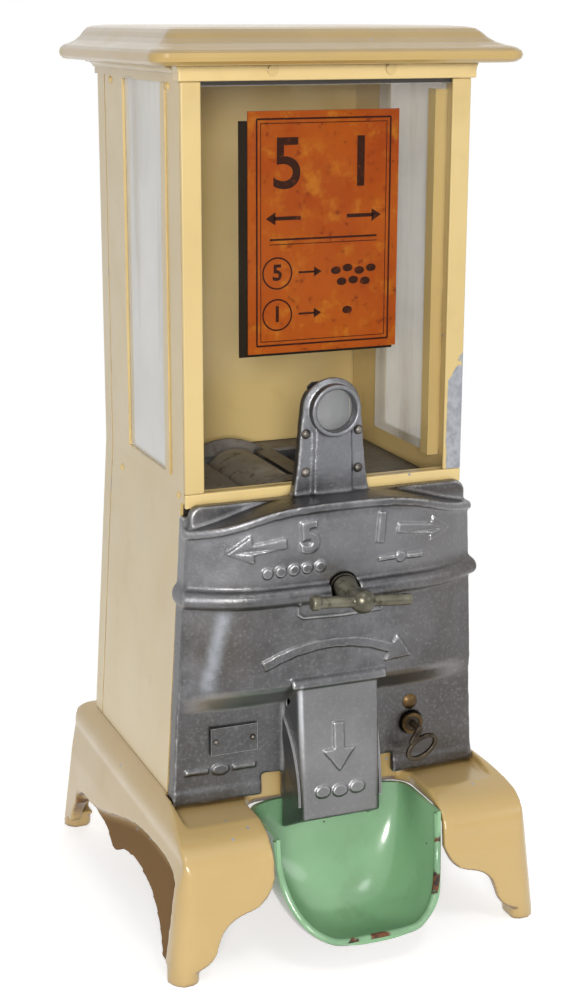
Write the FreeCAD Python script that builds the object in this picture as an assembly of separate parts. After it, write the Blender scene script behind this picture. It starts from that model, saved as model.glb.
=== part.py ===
import FreeCAD, Part
import math
import os

# Countertop nut vendor with a coin tongue, a T-handle and a scoop cup. Millimetres, +Z up.
# It is drawn with Y = 0 at the cabinet's centre. Saving moves every piece along Y, so that the
# origin is the middle of the bottom of the whole box. The front faces -Y.

V = FreeCAD.Vector

# Base
foot_half_x = 101.0
foot_front_y = -117.0
foot_rear_y = 90.0
base_top_half_x = 92.3
base_top_front_y = -113.3
base_top_rear_y = 84.5
base_corner = 9.0
base_wall = 5.0
base_top_z = 77.7
shoulder_z = 62.0
platform_z = 71.6
foot_size = 15.5
foot_height = 9.0
foot_pad_r = 8.2
foot_pad_z = 7.0
arch_z = 31.0
recess_depth = 7.0
cup_opening_half = 46.2
cup_opening_back_y = -63.5
upstand_z = 87.0

# Scoop cup
cup_half = 44.9
cup_top_z = 67.0
cup_bottom_z = 7.5
cup_lip_y = -135.2
cup_lip_z = 17.2
cup_deepest_y = -105.0
cup_back_y = -64.8
cup_wall = 2.0
cup_power = 2.6

# Case
case_half = 74.2
case_half_low = 84.0
case_front_y = -66.1
case_rear_y = 66.0
case_flange_y = -60.0
flare_z = 233.0
sheet = 1.5
sill_z = 226.0
window_low_z = 238.5
window_high_z = 426.0
window_front_y = -45.0
window_rear_y = 23.7
bead_strip = 6.3
channel_x = 66.2
seam_y = 53.0
seam_depth = 0.6
post_width = 9.9
rail_z = 427.0
lid_z = 434.3
lid_top_z = 451.4

# Cast front
casting_half_low = 83.9
casting_half_high = 76.0
apron_y = -70.7
apron_low_z = 73.0
apron_top_z = 121.0
wall_low_z = 136.0
bead_z = 183.0
bead_r = 4.8
brow_z = 204.0
brow_top_z = 228.2
crease_x = 56.0
bend_reach = 13.0
casting_wall = 4.0
hood_half_front = 21.5
hood_half_back = 25.6
hood_front_low_y = -89.3
hood_front_high_y = -83.4
hood_top_z = 134.0
hood_low_z = 63.0
tongue_front_y = -72.0
tongue_head_z = 271.0
window_r = 10.6

# Works
handle_z = 184.3
handle_tilt = 4.5
shaft_r = 5.0
run_gap = 0.05
gear_module = 1.5
pinion_teeth = 16
drum_teeth = 24
large_drum_x = -13.0
large_drum_r = 18.0
small_drum_x = 26.0
small_drum_r = 14.5
spindle_r = 4.0
spigot_r = 3.0
gear_y = (-52.0, -46.0)
floor_z = 222.0
lock_x = 46.8
lock_z = 100.0
bow_offset = (1.5, -10.2)
bow_tilt = 30.0

gear_reach = gear_module * (pinion_teeth + drum_teeth) / 2
shift_y = -(cup_lip_y + foot_rear_y) / 2


def save(node, shape):
    """Moves a finished piece into the model's frame and writes it."""
    moved = shape.copy()
    moved.translate(V(0, shift_y, 0))
    moved.exportStep("parts/" + node + ".step")
    print(node, "solids", len(moved.Solids), "valid", moved.isValid(), "mm3", round(moved.Volume))


def save_pair(name, right):
    """Writes a right-hand piece and its mirror image."""
    save(name + "_right", right)
    save(name + "_left", mirrored(right))


def mirrored(shape):
    return shape.mirror(V(0, 0, 0), V(1, 0, 0))


def both(shape):
    return shape.fuse(mirrored(shape))


def box(x0, x1, y0, y1, z0, z1):
    return Part.makeBox(x1 - x0, y1 - y0, z1 - z0, V(x0, y0, z0))


def rod_x(y, z, radius, x0, x1):
    return Part.makeCylinder(radius, x1 - x0, V(x0, y, z), V(1, 0, 0))


def rod_y(x, z, radius, y0, y1):
    return Part.makeCylinder(radius, y1 - y0, V(x, y0, z), V(0, 1, 0))


def rod_z(x, y, radius, z0, z1):
    return Part.makeCylinder(radius, z1 - z0, V(x, y, z0), V(0, 0, 1))


def edge_through(points):
    """Two points make a straight edge, three an arc, and more a smooth curve."""
    if len(points) == 2:
        return Part.LineSegment(*points).toShape()
    if len(points) == 3:
        return Part.Arc(*points).toShape()
    curve = Part.BSplineCurve()
    curve.interpolate(points)
    return curve.toShape()


def closed_wire(runs):
    return Part.Wire([edge_through(run) for run in runs])


def straight(points):
    """The straight runs round a closed outline."""
    return [[a, b] for a, b in zip(points, points[1:] + points[:1])]


def prism_xz(runs, y0, y1):
    wire = closed_wire([[V(x, y0, z) for x, z in run] for run in runs])
    return Part.Face(wire).extrude(V(0, y1 - y0, 0))


def prism_yz(runs, x0, x1):
    wire = closed_wire([[V(x0, y, z) for y, z in run] for run in runs])
    return Part.Face(wire).extrude(V(x1 - x0, 0, 0))


def rounded_rect(x0, x1, y0, y1, radius, z):
    """A flat rectangle with round corners, as a wire at height z."""
    q = radius * (1 - math.sqrt(0.5))
    runs = [
        [(x0 + radius, y0), (x1 - radius, y0)],
        [(x1 - radius, y0), (x1 - q, y0 + q), (x1, y0 + radius)],
        [(x1, y0 + radius), (x1, y1 - radius)],
        [(x1, y1 - radius), (x1 - q, y1 - q), (x1 - radius, y1)],
        [(x1 - radius, y1), (x0 + radius, y1)],
        [(x0 + radius, y1), (x0 + q, y1 - q), (x0, y1 - radius)],
        [(x0, y1 - radius), (x0, y0 + radius)],
        [(x0, y0 + radius), (x0 + q, y0 + q), (x0 + radius, y0)],
    ]
    return closed_wire([[V(x, y, z) for x, y in run] for run in runs])


def rounded_block(x0, x1, y0, y1, radius, z0, z1):
    return Part.Face(rounded_rect(x0, x1, y0, y1, radius, z0)).extrude(V(0, 0, z1 - z0))


# Base and cup

def base_splay(low_x, high_x, inset_y, z_top, corner):
    """The splayed block that the base is cut from, drawn in at its sides and at front and rear."""
    low = rounded_rect(-foot_half_x + low_x, foot_half_x - low_x, foot_front_y + inset_y,
                       foot_rear_y - inset_y, corner, -1)
    high = rounded_rect(-base_top_half_x + high_x, base_top_half_x - high_x, base_top_front_y + inset_y,
                        base_top_rear_y - inset_y, corner, z_top)
    return Part.makeLoft([low, high], True, True)


def base_outer():
    """Splayed block with rounded shoulders and a top that dips towards the front."""
    across = [
        [(-foot_half_x - 5, 0), (foot_half_x + 5, 0)],
        [(foot_half_x + 5, 0), (base_top_half_x, shoulder_z)],
        [(base_top_half_x, shoulder_z), (90.0, 72.6), (82.0, base_top_z)],
        [(82.0, base_top_z), (-82.0, base_top_z)],
        [(-82.0, base_top_z), (-90.0, 72.6), (-base_top_half_x, shoulder_z)],
        [(-base_top_half_x, shoulder_z), (-foot_half_x - 5, 0)],
    ]
    along = [
        [(foot_front_y - 5, 0), (foot_rear_y + 5, 0)],
        [(foot_rear_y + 5, 0), (base_top_rear_y, shoulder_z)],
        [(base_top_rear_y, shoulder_z), (81.5, 72.6), (71.0, base_top_z)],
        [(71.0, base_top_z), (-58.0, base_top_z)],
        [(-58.0, base_top_z), (-78.0, 75.2), (-95.0, 71.0), (-106.0, 66.6), (-111.6, 60.5),
         (base_top_front_y, 52.0)],
        [(base_top_front_y, 52.0), (foot_front_y - 5, 0)],
    ]
    block = base_splay(0, 0, 0, base_top_z + 1, base_corner)
    block = block.common(prism_xz(across, -150, 150))
    return block.common(prism_yz(along, -150, 150))


def base_side_cuts():
    """Undercut band and cusped arch between the legs, on the right side."""
    rear_leg_y = foot_rear_y - foot_size - 8
    front_leg_y = foot_front_y + foot_size
    band = [
        [(rear_leg_y, -2), (rear_leg_y - 4, 22)],
        [(rear_leg_y - 4, 22), (rear_leg_y - 10, 29.5), (40, 32), (0, 41), (-40, 52), (-70, 55),
         (-92, 54), (front_leg_y - 2, 49)],
        [(front_leg_y - 2, 49), (front_leg_y, -2)],
        [(front_leg_y, -2), (rear_leg_y, -2)],
    ]
    arch = [
        [(rear_leg_y + 4, -2), (rear_leg_y + 2, 10)],
        [(rear_leg_y + 2, 10), (rear_leg_y - 5, 22), (46, 28.2), (26, arch_z - 2.5), (10, 26.5), (2, 23)],
        [(2, 23), (-3, 22.0), (-8, 23.6)],
        [(-8, 23.6), (-18, 28.2), (-42, arch_z), (-62, 28.5), (-75, 23.5), (-85, 17), (-92.5, 9.5)],
        [(-92.5, 9.5), (front_leg_y, -2)],
        [(front_leg_y, -2), (rear_leg_y + 4, -2)],
    ]
    recess = prism_yz(band, 70, 120).cut(base_splay(0.2, recess_depth, 0, base_top_z, base_corner))
    return recess.fuse(prism_yz(arch, 70, 120))


def base_front_cut():
    """Below the right front bracket, from the cup opening to the foot."""
    foot_x = foot_half_x - foot_size
    runs = [
        [(0, -2), (foot_x + 1, -2)],
        [(foot_x + 1, -2), (foot_x + 0.6, 7.4)],
        [(foot_x + 0.6, 7.4), (82.0, 9.2), (78.6, 12.6), (76.2, 18.5), (72.8, 26.0), (67.0, 30.8),
         (59.0, 33.4), (52.6, 36.6), (48.8, 42.0), (cup_opening_half, 48.0)],
        [(cup_opening_half, 48.0), (0, 48.0)],
        [(0, 48.0), (0, -2)],
    ]
    return prism_xz(runs, -140, -98)


def base_rear_cut():
    runs = [
        [(0, -2), (86, -2)],
        [(86, -2), (85, 8), (78, 22), (66, 30), (48, 33)],
        [(48, 33), (0, 33)],
        [(0, 33), (0, -2)],
    ]
    return prism_xz(runs, 70, 110)


def foot_pads():
    pads = []
    for y in (foot_front_y + foot_pad_r, foot_rear_y - foot_pad_r):
        pads.append(both(rod_z(foot_half_x - foot_pad_r, y, foot_pad_r, -5, foot_pad_z)))
    return pads[0].fuse(pads[1])


def make_base():
    outer = base_outer()
    cavity = base_splay(base_wall, 2 * base_wall + 1, base_wall, 66.0, base_corner - base_wall)
    cavity.translate(V(0, 0, -1))
    roof = base_outer()
    roof.translate(V(0, 0, -base_wall))
    cavity = cavity.common(roof)
    for y0 in (foot_front_y - 2, foot_rear_y - foot_size):
        foot = box(foot_half_x - foot_size, foot_half_x + 2, y0, y0 + foot_size + 2, -5, foot_height)
        cavity = cavity.cut(both(foot))
    solid = outer.cut(cavity)
    for cutter in (base_side_cuts(), base_front_cut(), base_rear_cut()):
        solid = solid.cut(both(cutter))
    solid = solid.cut(box(-120, 120, -130, 110, -5, foot_pad_z).cut(foot_pads()))
    solid = solid.cut(rounded_block(-84.5, 84.5, -97, -57, 8, platform_z, 90))
    solid = solid.cut(box(-84.5, 84.5, -72, -59.9, platform_z, 90))
    solid = solid.cut(rounded_block(-cup_opening_half, cup_opening_half, -160, cup_opening_back_y, 11,
                                    -2, 90))
    solid = solid.fuse(box(-54, 54, -66, -62.6, cup_top_z + 1, upstand_z))
    for x, y in base_bolt_places():
        solid = solid.cut(rod_z(x, y, 3.2, 50, 90))
    save("base", solid.removeSplitter())


def base_bolt_places():
    return [(x, y) for x in (-62, 62) for y in (-38, 46)]


def make_base_fasteners():
    """Bolts that hold the case, and the rivets of the cup's bracket."""
    pieces = [rod_z(x, y, 3.0, 62.0, 79.2).fuse(rod_z(x, y, 5.5, 61.0, 64.98)) for x, y in base_bolt_places()]
    pieces += [rod_z(x, -52, 2.5, 62.1, 63.48) for x in (-6, 6)]
    save("base_fasteners", Part.makeCompound(pieces))


def cup_section(y, half, bottom):
    """A U-shaped section, squarer than an ellipse, closed along its top."""
    steps = 14
    points = []
    for i in range(steps + 1):
        angle = math.pi * i / steps
        c = math.cos(angle)
        x = half * math.copysign(abs(c) ** (2 / cup_power), c)
        z = cup_top_z - (cup_top_z - bottom) * abs(math.sin(angle)) ** (2 / cup_power)
        points.append(V(x, y, z))
    return closed_wire([points, [points[-1], points[0]]])


def cup_block(inset):
    """The cup's outside, or with an inset its inside, before the front is cut to the rim."""
    back = cup_back_y - inset
    sections = []
    for y in (-138.0, -128.0, -116.0, cup_deepest_y):
        rise = (cup_lip_z - cup_bottom_z) * ((cup_deepest_y - y) / (cup_deepest_y - cup_lip_y)) ** 2
        sections.append(cup_section(y, cup_half - inset, cup_bottom_z + rise - cup_wall + inset))
    for t in (0.3, 0.55, 0.75, 0.88, 0.95, 0.99):
        y = cup_deepest_y + t * (back - cup_deepest_y)
        half = (cup_half - inset) * (1 - t ** 10) ** 0.25
        deep = (cup_top_z - cup_bottom_z + cup_wall - inset) * (1 - t ** 2.2) ** (1 / 2.2)
        sections.append(cup_section(y, half, cup_top_z - deep))
    return Part.makeLoft(sections, True, False)


def make_cup():
    inner = cup_block(cup_wall)
    lid = box(-60, 60, -150, -50, cup_top_z - 0.01, cup_top_z + 5)
    rim = [
        [(-111.0, cup_top_z + 6), (-111.2, 65.0)],
        [(-111.2, 65.0), (-112.2, 55.0), (-114.3, 45.0), (-119.7, 35.0), (-125.7, 28.0),
         (-130.4, 21.6), (cup_lip_y, cup_lip_z)],
        [(cup_lip_y, cup_lip_z), (cup_lip_y - 0.4, -5)],
        [(cup_lip_y - 0.4, -5), (-160, -5)],
        [(-160, -5), (-160, cup_top_z + 6)],
        [(-160, cup_top_z + 6), (-111.0, cup_top_z + 6)],
    ]
    shell = cup_block(0).cut(inner).cut(lid).cut(prism_yz(rim, -60, 60))
    save("cup", shell)


def make_cup_bracket():
    strap = box(-12, 12, -65.18, -63.7, 57, 64.98).fuse(box(-12, 12, -63.7, -44, 63.5, 64.98))
    save("cup_bracket", strap.removeSplitter())


# Case

def side_half(z):
    """The case's half-width at height z: straight at the window, flared below."""
    if z >= flare_z:
        return case_half
    return case_half + (case_half_low - case_half) * (flare_z - z) / (flare_z - base_top_z)


def make_side_panels():
    outline = [(case_half, rail_z), (case_half, flare_z), (case_half_low, base_top_z),
               (case_half_low - sheet, base_top_z), (case_half - sheet, flare_z),
               (case_half - sheet, rail_z)]
    panel = prism_xz(straight(outline), case_front_y + 2.1, case_rear_y)
    panel = panel.cut(box(60, 100, -80, case_flange_y, 0, brow_top_z))
    panel = panel.cut(box(60, 100, window_front_y, window_rear_y, window_low_z, window_high_z))
    seam = [(x + 2 * sheet, z) for x, z in outline[:3]] + [(x + sheet - seam_depth, z) for x, z in outline[3:]]
    panel = panel.cut(prism_xz(straight(seam), seam_y, seam_y + 1.2))
    panel = panel.cut(box(60, 100, seam_y, seam_y + 1.2, base_top_z - 1, base_top_z + 9))
    save_pair("side_panel", panel)


def trapezium(inset, z0, z1):
    a = side_half(z0) - inset
    b = side_half(z1) - inset
    return [(-a, z0), (a, z0), (b, z1), (-b, z1)]


def make_rear_panel():
    low = prism_xz(straight(trapezium(sheet + 0.05, base_top_z, flare_z)), case_rear_y - sheet, case_rear_y)
    high = box(-case_half + sheet, case_half - sheet, case_rear_y - sheet, case_rear_y, flare_z, rail_z)
    save("rear_panel", low.fuse(high).removeSplitter())


def make_front_panel():
    panel = prism_xz(straight(trapezium(sheet + 0.05, base_top_z + 1.7, sill_z)), case_flange_y,
                     case_flange_y + sheet)
    panel = panel.cut(rod_y(0, handle_z, 8.0, -70, -50))
    panel = panel.cut(box(-20, 20, -70, -50, upstand_z + 1, 126))
    panel = panel.cut(rod_y(lock_x, lock_z, 6.0, -70, -50))
    panel = panel.cut(box(12, 36, -70, -50, 160, 166))
    save("front_panel", panel)


def make_case_floor():
    half = side_half(base_top_z) - sheet - 0.3
    plate = box(-half, half, case_flange_y + 1.6, case_rear_y - sheet - 0.1, base_top_z, base_top_z + 1.6)
    for x, y in base_bolt_places():
        plate = plate.cut(rod_z(x, y, 3.2, 70, 90))
    save("case_floor", plate)


def make_front_frame():
    post = box(case_half - post_width, case_half, case_front_y, case_front_y + 2.05, flare_z, rail_z)
    save_pair("front_post", post)
    sill = box(-case_half, case_half, case_front_y, case_front_y + 2.05, sill_z, flare_z)
    sill = sill.fuse(box(-case_half + sheet, case_half - sheet, case_front_y + 2.05, -58.5, sill_z, flare_z))
    save("front_sill", sill.removeSplitter())
    end = [(75.8, rail_z), (75.8, rail_z + 4), (77, lid_z)]
    face = end + [(-x, z) for x, z in reversed(end)]
    save("frieze", prism_xz(straight(face), -68.3, -60))


def cove(inner, outer):
    """Moulding profile: flush with the case, then curving out to an overhanging top."""
    step = outer - inner
    return [
        [(inner - 2.7, rail_z), (inner, rail_z)],
        [(inner, rail_z), (inner, rail_z + 3.2)],
        [(inner, rail_z + 3.2), (inner + 0.9, rail_z + 3.6)],
        [(inner + 0.9, rail_z + 3.6), (inner + 0.42 * step, rail_z + 5.2), (outer, rail_z + 6.0)],
        [(outer, rail_z + 6.0), (outer, lid_z)],
        [(outer, lid_z), (inner - 2.7, lid_z)],
        [(inner - 2.7, lid_z), (inner - 2.7, rail_z)],
    ]


def make_cornices():
    save_pair("cornice", prism_xz(cove(case_half, case_half + 5), -59.9, 71.0))
    save("cornice_rear", prism_yz(cove(case_rear_y, case_rear_y + 5), -71.4, 71.4))


def make_glazing():
    save("front_glass", box(-72, 72, -63.9, -62.0, flare_z + 0.1, rail_z - 0.1))
    save_pair("side_glass", box(70.6, 72.6, window_front_y + 2.1, 30, 235, 426.8))
    strip = box(72.7, 75.0, window_front_y + 0.05, window_front_y + bead_strip, window_low_z + 0.05,
                window_high_z - 0.05)
    web = box(channel_x, 72.7, window_front_y + 0.8, window_front_y + 2.0, window_low_z + 0.05, 421)
    leg = box(channel_x, channel_x + 1.2, window_front_y + 0.8, window_front_y + 8.8, 235.5, 421)
    foot = box(channel_x, 72.5, window_front_y + 0.8, window_front_y + 2.0, 235.5, 245)
    save("glazing_beads", both(strip.fuse(web).fuse(leg).fuse(foot).removeSplitter()))


def make_card():
    save("display_card", box(-40.0, 38.0, -61.9, -61.2, 298.5, 413.0))
    save("card_backing", box(-44.2, 36.4, -61.1, -60.3, 297.2, 408.6))


def make_small_fasteners():
    screws = [rod_y(x, 431.5, 2.6, -69.2, -68.3) for x in (-30, 30)]
    save("frieze_screws", Part.makeCompound(screws))
    inside = [(0, base_top_z), (case_half_low, base_top_z), (case_half, flare_z), (case_half, lid_z), (0, lid_z)]
    inside = prism_xz(straight(inside), -90, 90)
    rivets = []
    for y, z in ((43, 424.4), (-48.0, 424.4), (-56, 230.8), (35.5, 223.5)):
        rivet = Part.makeSphere(2.4, V(side_half(z) - 1.2, y, z)).cut(inside)
        rivets += [rivet, mirrored(rivet)]
    save("side_rivets", Part.makeCompound(rivets))


def lid_outline(z, grow):
    """Plan of the lid at height z: a deep moulding in front and at the sides, nearly upright behind."""
    half = 76.2 + 1.1 * grow
    return rounded_rect(-half, half, -62 - 1.53 * grow, 73.5 + 0.1 * grow, max(1.5, 3.5 + 0.25 * grow), z)


def make_lid():
    """Moulded lid: half-round edge bead, then an ogee up to a slightly crowned top."""
    bead_grow = 12.2
    rings = [lid_outline(lid_z, bead_grow)]
    for degrees in (-60, -30, 0, 30, 60):
        angle = math.radians(degrees)
        rings.append(lid_outline(lid_z + 3.7 + 3.7 * math.sin(angle), bead_grow + 3.7 * math.cos(angle)))
    for z, grow in ((441.8, 12.8), (442.5, 10.6), (443.8, 7.8), (446.0, 5.2), (448.4, 3.4), (450.0, 1.6),
                    (450.8, -1.0), (lid_top_z, -8.0)):
        rings.append(lid_outline(z, grow))
    solid = Part.makeLoft(rings, True, True)
    solid = solid.cut(rounded_block(-75, 75, -61, 61, 3, lid_z - 1, 446.5))
    save("lid", solid)
    frame = box(-69.6, 69.6, -59.6, 60.9, 428.5, 446.5).cut(box(-67.6, 67.6, -57.6, 58.9, 420, 450))
    save("lid_frame", frame)


# Cast front

def casting_half(z):
    return casting_half_low + (casting_half_high - casting_half_low) * (z - apron_low_z) / (216 - apron_low_z)


def casting_ring(z, bow, grow, back_y):
    """Plan of the cast front at height z: canted ends, wide rounded bends, a bowed middle."""
    half = casting_half(z) + min(grow, 0) + 0.5 * max(grow, 0)
    end_y = apron_y + 1.2 - 0.14 * bow - grow
    crease_y = apron_y - 0.86 * bow - grow
    centre_y = apron_y - bow - 0.3 - grow
    crease = crease_x + 0.6 * min(grow, 0)
    end_slope = (end_y - crease_y) / (half - crease)
    bow_slope = 2 * (crease_y - centre_y) / crease
    near = crease - bend_reach
    near_y = centre_y + (crease_y - centre_y) * (near / crease) ** 2
    bend_y = crease_y + (end_slope - bow_slope) * bend_reach / 4
    far = crease + bend_reach
    far_y = crease_y + end_slope * bend_reach
    runs = [
        [(-half, back_y), (-half, end_y)],
        [(-half, end_y), (-far, far_y)],
        [(-far, far_y), (-crease, bend_y), (-near, near_y)],
        [(-near, near_y), (0, centre_y), (near, near_y)],
        [(near, near_y), (crease, bend_y), (far, far_y)],
        [(far, far_y), (half, end_y)],
        [(half, end_y), (half, back_y)],
        [(half, back_y), (-half, back_y)],
    ]
    return closed_wire([[V(x, y, z) for x, y in run] for run in runs])


def casting_profile():
    """Height, bow and growth of each plan, from the apron's foot to the brow."""
    rings = [(apron_low_z, 0.0, 0.8), (apron_low_z + 7, 0.0, 0.6), (apron_low_z + 8, 0.0, 0.0),
             (apron_top_z, 0.0, 0.0)]
    for share in (0.12, 0.35, 0.65, 0.9, 1.0):
        z = apron_top_z + share * (wall_low_z - apron_top_z)
        rings.append((z, 11.5 * math.sin(share * math.pi / 2) ** 1.5, 0.0))
    for degrees in range(-90, 91, 30):
        angle = math.radians(degrees)
        rings.append((bead_z + bead_r * math.sin(angle), 16.3, bead_r * math.cos(angle)))
    rings.append((brow_z, 17.6, 0.0))
    return rings


def crest_runs(drop, floor):
    """Outline under the arched lip: low at the ends, high in the middle."""
    half = [(82.0, 216.8), (70.0, 218.2), (56.0, 221.6), (42.0, 225.6), (28.0, 228.0), (14.0, 228.9),
            (0.0, 229.0)]
    curve = [(x, z - drop) for x, z in half] + [(-x, z - drop) for x, z in reversed(half[:-1])]
    ends = [(-82.0, floor), (82.0, floor)]
    return [curve, [curve[-1], ends[0]], ends, [ends[1], curve[0]]]


def brow_block(grow):
    rings = [casting_ring(z, 17.6 + 0.02 * (z - brow_z), grow, -66.2) for z in (brow_z, brow_top_z + 2)]
    return Part.makeLoft(rings, True, True)


def casting_brow():
    """The solid top of the casting: arched shelf, proud lip and the plate behind it."""
    shelf = brow_block(0).common(prism_xz(crest_runs(0.8, brow_z), -120, -60))
    lip = brow_block(2.0).common(prism_xz(crest_runs(0, 190), -120, -60))
    lip = lip.cut(prism_xz(crest_runs(4.0, 190), -120, -60))
    plate = [
        [(-73.6, 200), (73.6, 200)],
        [(73.6, 200), (73.6, 222.5)],
        [(73.6, 222.5), (71.7, 227.1), (67.1, brow_top_z)],
        [(67.1, brow_top_z), (-67.1, brow_top_z)],
        [(-67.1, brow_top_z), (-71.7, 227.1), (-73.6, 222.5)],
        [(-73.6, 222.5), (-73.6, 200)],
    ]
    back = prism_xz(plate, -72.4, -66.2)
    return shelf.fuse(lip).fuse(back)


def hood_ring(z, front_y, back_y, inset):
    front = hood_half_front - inset
    back = hood_half_back - inset
    points = [(-back, back_y), (-front, front_y + inset), (front, front_y + inset), (back, back_y)]
    return Part.makePolygon([V(x, y, z) for x, y in points + points[:1]])


def hood_block(inset, low, high):
    slope = (hood_front_low_y - hood_front_high_y) / (hood_low_z - hood_top_z)
    rings = [hood_ring(z, hood_front_high_y + slope * (z - hood_top_z), -66.6, inset) for z in (low, high)]
    return Part.makeLoft(rings, True, True)


def casting_hood():
    """Delivery hood: sloped front, drafted sides that hang lower at the back, open below."""
    hood = hood_block(0, 48, hood_top_z)
    front_edges = [e for e in hood.Edges if e.Vertexes[0].Point.z != e.Vertexes[1].Point.z
                   and e.CenterOfMass.y < -75]
    hood = hood.makeFillet(3.0, front_edges)
    below = straight([(-66, 40), (-110, 40), (-110, hood_low_z - 2.6), (-89.3, hood_low_z), (-66.0, 50)])
    return hood.cut(prism_yz(below, -40, 40))


def casting_visor():
    """Raised strip along the top of the hood."""
    profile = [(-78, 132.6), (-85.2, 132.6), (-85.5, 134.6), (-84.2, 137.4), (-78, 138.4)]
    return prism_yz(straight(profile), -25.8, 25.8)


def tongue_outline():
    head_r = 15.6
    return [
        [(-21, 224), (21, 224)],
        [(21, 224), (20, 231), (18.6, 240), (17.2, 254), (head_r, tongue_head_z)],
        [(head_r, tongue_head_z), (0, tongue_head_z + head_r), (-head_r, tongue_head_z)],
        [(-head_r, tongue_head_z), (-17.2, 254), (-18.6, 240), (-20, 231), (-21, 224)],
    ]


def casting_tongue():
    """Upright tongue with a raised panel, a round head and a slot down its back for the coin."""
    tongue = prism_xz(tongue_outline(), tongue_front_y, -66.2)
    raised = straight([(-10.5, 226), (10.5, 226), (9.5, 264), (-9.5, 264)])
    panel = prism_xz(raised, tongue_front_y - 2.0, -70)
    panel = panel.cut(rod_y(0, tongue_head_z, 13.3, -90, -60))
    ring = rod_y(0, tongue_head_z, 13.6, tongue_front_y - 1.5, -68)
    solid = tongue.fuse(panel).fuse(ring)
    solid = solid.cut(box(-11.3, 11.3, -69.6, -66.0, 200, 300))
    return solid.cut(rod_y(0, tongue_head_z, window_r, -90, -60))


def make_front_casting():
    profile = casting_profile()
    outer = Part.makeLoft([casting_ring(z, bow, grow, case_flange_y - 0.05) for z, bow, grow in profile],
                          True, True)
    hollow_rings = [(apron_low_z - 5, 0.0), (apron_top_z - 2, 0.0), (wall_low_z - 4, 11.0),
                    (bead_z, 16.3), (brow_z - 2, 17.4)]
    hollow = Part.makeLoft([casting_ring(z, bow, -casting_wall, -50) for z, bow in hollow_rings], True, True)
    shell = outer.cut(hollow)
    shell = shell.fuse(casting_brow()).fuse(casting_hood()).fuse(casting_visor())
    shell = shell.cut(hood_block(3.0, 30, hood_top_z - 4).common(box(-40, 40, -100, -60, 30, 200)))
    shell = shell.cut(box(-23.4, 23.4, -75, -55, 85, 128))
    shell = shell.cut(both(box(hood_half_back, 36.5, -80, -55, 60, 84)))
    shell = shell.cut(box(-hood_half_back, hood_half_back, -67.2, -55, 40, 84))
    shell = shell.cut(box(-30, 30, -68.8, -55, 40, cup_top_z + 1.5))
    shell = shell.fuse(casting_tongue())
    shell = shell.cut(box(-11.3, 11.3, -69.6, -66.0, brow_z - 10, 232))
    shell = shell.cut(rod_y(0, handle_z, 7.5, -110, -60))
    shell = shell.cut(rod_y(lock_x, lock_z, 5.7, -90, -60))
    save("front_casting", shell.removeSplitter())


def make_coin_window():
    ring = rod_y(0, tongue_head_z, 13.0, -78.0, tongue_front_y - 1.5)
    ring = ring.cut(rod_y(0, tongue_head_z, window_r, -90, -60))
    outer_edge = [e for e in ring.Edges if abs(e.CenterOfMass.y + 78.0) < 0.1]
    save("coin_window_ring", ring.makeFillet(1.0, outer_edge))
    save("coin_window_glass", rod_y(0, tongue_head_z, window_r - 0.1, -72.2, -70.4))
    save("coin_window_plate", prism_xz(tongue_outline(), -67.1, -66.25).common(
        box(-11.2, 11.2, -80, -60, 230, 284)))
    screws = []
    for x in (-14.0, 14.0):
        for z in (240.3, 259.5):
            head = Part.makeSphere(2.6, V(x, tongue_front_y + 0.8, z))
            screws.append(head.cut(box(-40, 40, tongue_front_y, -50, 200, 300)))
    save("tongue_screws", Part.makeCompound(screws))


def make_chute_cheeks():
    """Lens-shaped plates on the hood's drafted sides."""
    lens = [[(-71.8, 114), (-82.0, 95.0), (-87.0, 70)], [(-87.0, 70), (-75.0, 88.0), (-71.8, 114)]]
    plate = prism_yz(lens, 10, 40).common(hood_block(-1.1, 40, hood_top_z + 1))
    save("chute_cheeks", both(plate.cut(hood_block(-0.02, 40, hood_top_z + 1))))


def make_plate():
    plate = box(-64.5, -39.5, apron_y - 1.7, apron_y - 0.2, 98.8, 113.2)
    pins = [Part.makeSphere(1.5, V(x, apron_y - 1.7, 106)).cut(box(-80, 0, apron_y - 1.7, 0, 90, 120))
            for x in (-61.8, -42.2)]
    save("small_plate", plate)
    save("plate_pins", Part.makeCompound(pins))


# Lock

def make_lock():
    body = rod_y(lock_x, lock_z, 5.6, -73.4, -55.0).cut(rod_y(lock_x, lock_z, 4.0 + run_gap, -80, -50))
    save("lock_body", body)
    save("lock_plug", rod_y(lock_x, lock_z, 4.0, -73.0, -54.8))
    head = Part.makeSphere(6.0, V(46.0, apron_y + 4.0, 111.5)).cut(box(20, 80, apron_y - 0.35, -50, 90, 130))
    save("lock_screw", head)
    cam = box(lock_x - 4, lock_x + 4, -54.8, -52.8, lock_z - 5, lock_z + 17)
    save("lock_cam", cam)
    save("key", make_key())


def make_key():
    """Stem, cranked neck and an oval bow that hangs below the lock and faces the front."""
    stem = rod_y(lock_x, lock_z, 1.7, -82.5, -73.05)
    neck = [(48.27, 99.14), (45.33, 100.86), (40.73, 93.06), (43.67, 91.34)]
    bow = Part.Face(Part.Wire([Part.Ellipse(V(0, 0, 0), 9.6, 5.9).toShape()]))
    hole = Part.Face(Part.Wire([Part.Ellipse(V(0, 0, 0), 7.3, 3.7).toShape()]))
    ring = bow.cut(hole).extrude(V(0, 0, 2.2))
    ring.rotate(V(0, 0, 0), V(1, 0, 0), 90)
    ring.rotate(V(0, 0, 0), V(0, 1, 0), -bow_tilt)
    ring.translate(V(lock_x + bow_offset[0], -80.3, lock_z + bow_offset[1]))
    return stem.fuse(prism_xz(straight(neck), -82.5, -80.3)).fuse(ring).removeSplitter()


# Handle and works

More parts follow.
